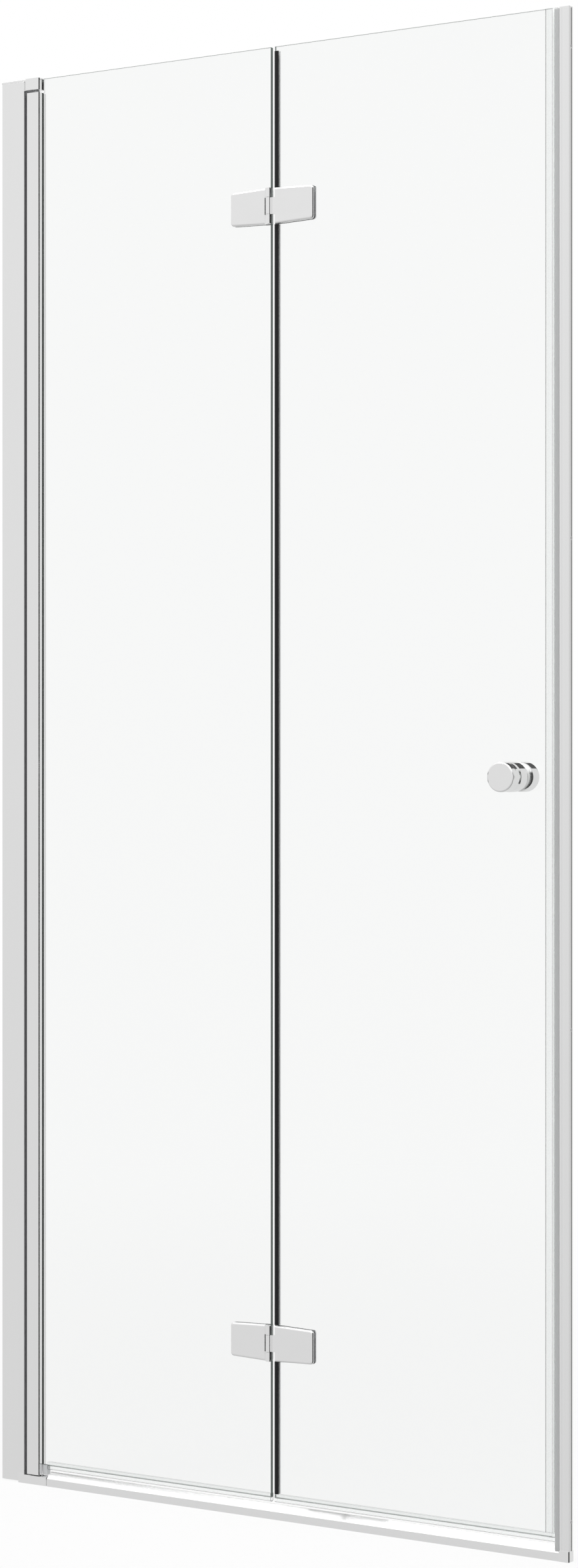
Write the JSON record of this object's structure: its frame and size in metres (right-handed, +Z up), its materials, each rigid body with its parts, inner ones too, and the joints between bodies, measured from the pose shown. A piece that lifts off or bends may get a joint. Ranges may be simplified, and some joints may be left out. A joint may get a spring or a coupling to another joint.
{
  "type": "folding shower door",
  "caption": "Folding shower door for a niche: a pivot leaf and a closing leaf of clear glass, joined by glass-to-glass hinges, in bright metal wall profiles with a low threshold rail.",
  "frame": {"origin": "on the shower tray, at mid width between the walls, in the middle plane of the closed glass", "axes": "+X along the closed door from the left wall to the right wall, +Y into the shower, +Z up"},
  "size_m": [0.9, 0.075, 1.95],
  "materials": {
    "bright_aluminium": "polished",
    "chrome": "polished",
    "steel": "satin",
    "clear_glass": "clear",
    "clear_seal": "clear",
    "black_seal": "matte",
    "grey_plastic": "matte",
    "magnet": "matte"
  },
  "bodies": {
    "frame": {"wall_profile_left": "bright_aluminium", "wall_profile_cap": "chrome", "adjusting_profile": "bright_aluminium", "adjusting_screws": "steel", "pivot_block_top": "chrome", "pivot_block_bottom": "chrome", "pivot_pin_top": "steel", "pivot_pin_bottom": "steel", "threshold_rail": "bright_aluminium", "threshold_end_right": "chrome", "strike_profile": "bright_aluminium", "strike_profile_cap": "chrome", "strike_seal": "clear_seal", "strike_magnet": "magnet"},
    "pivot_leaf": {"pivot_pane": "clear_glass", "pivot_profile": "bright_aluminium", "glazing_gasket": "black_seal", "pivot_bush_top": "grey_plastic", "pivot_bush_bottom": "grey_plastic", "pivot_washer": "grey_plastic", "pivot_drip_seal": "clear_seal", "drip_seal_stop": "grey_plastic", "upper_hinge_pivot_plate": "chrome", "upper_hinge_pivot_back_plate": "chrome", "upper_hinge_pivot_pads": "grey_plastic", "upper_hinge_pivot_screws": "steel", "upper_hinge_pin": "steel", "lower_hinge_pivot_plate": "chrome", "lower_hinge_pivot_back_plate": "chrome", "lower_hinge_pivot_pads": "grey_plastic", "lower_hinge_pivot_screws": "steel", "lower_hinge_pin": "steel"},
    "closing_leaf": {"closing_pane": "clear_glass", "fold_seal": "black_seal", "closing_drip_seal": "clear_seal", "magnet_seal": "clear_seal", "door_magnet": "magnet", "upper_hinge_closing_plate": "chrome", "upper_hinge_closing_back_plate": "chrome", "upper_hinge_closing_pads": "grey_plastic", "upper_hinge_closing_screws": "steel", "upper_hinge_bush": "grey_plastic", "lower_hinge_closing_plate": "chrome", "lower_hinge_closing_back_plate": "chrome", "lower_hinge_closing_pads": "grey_plastic", "lower_hinge_closing_screws": "steel", "lower_hinge_bush": "grey_plastic", "knob_outer": "chrome", "knob_inner": "chrome", "knob_stud": "steel", "knob_sleeve": "grey_plastic", "knob_washers": "black_seal"}
  },
  "joints": [
    {"name": "door_pivot", "type": "hinge", "parent": "frame", "child": "pivot_leaf", "pos_m": [-0.3995, 0, 0], "axis": [0, 0, 1], "range_deg": [0, 90]},
    {"name": "fold_hinge", "type": "hinge", "parent": "pivot_leaf", "child": "closing_leaf", "pos_m": [-0.0053, -0.0075, 0.2], "axis": [0, 0, -1], "range_deg": [0, 170]}
  ]
}
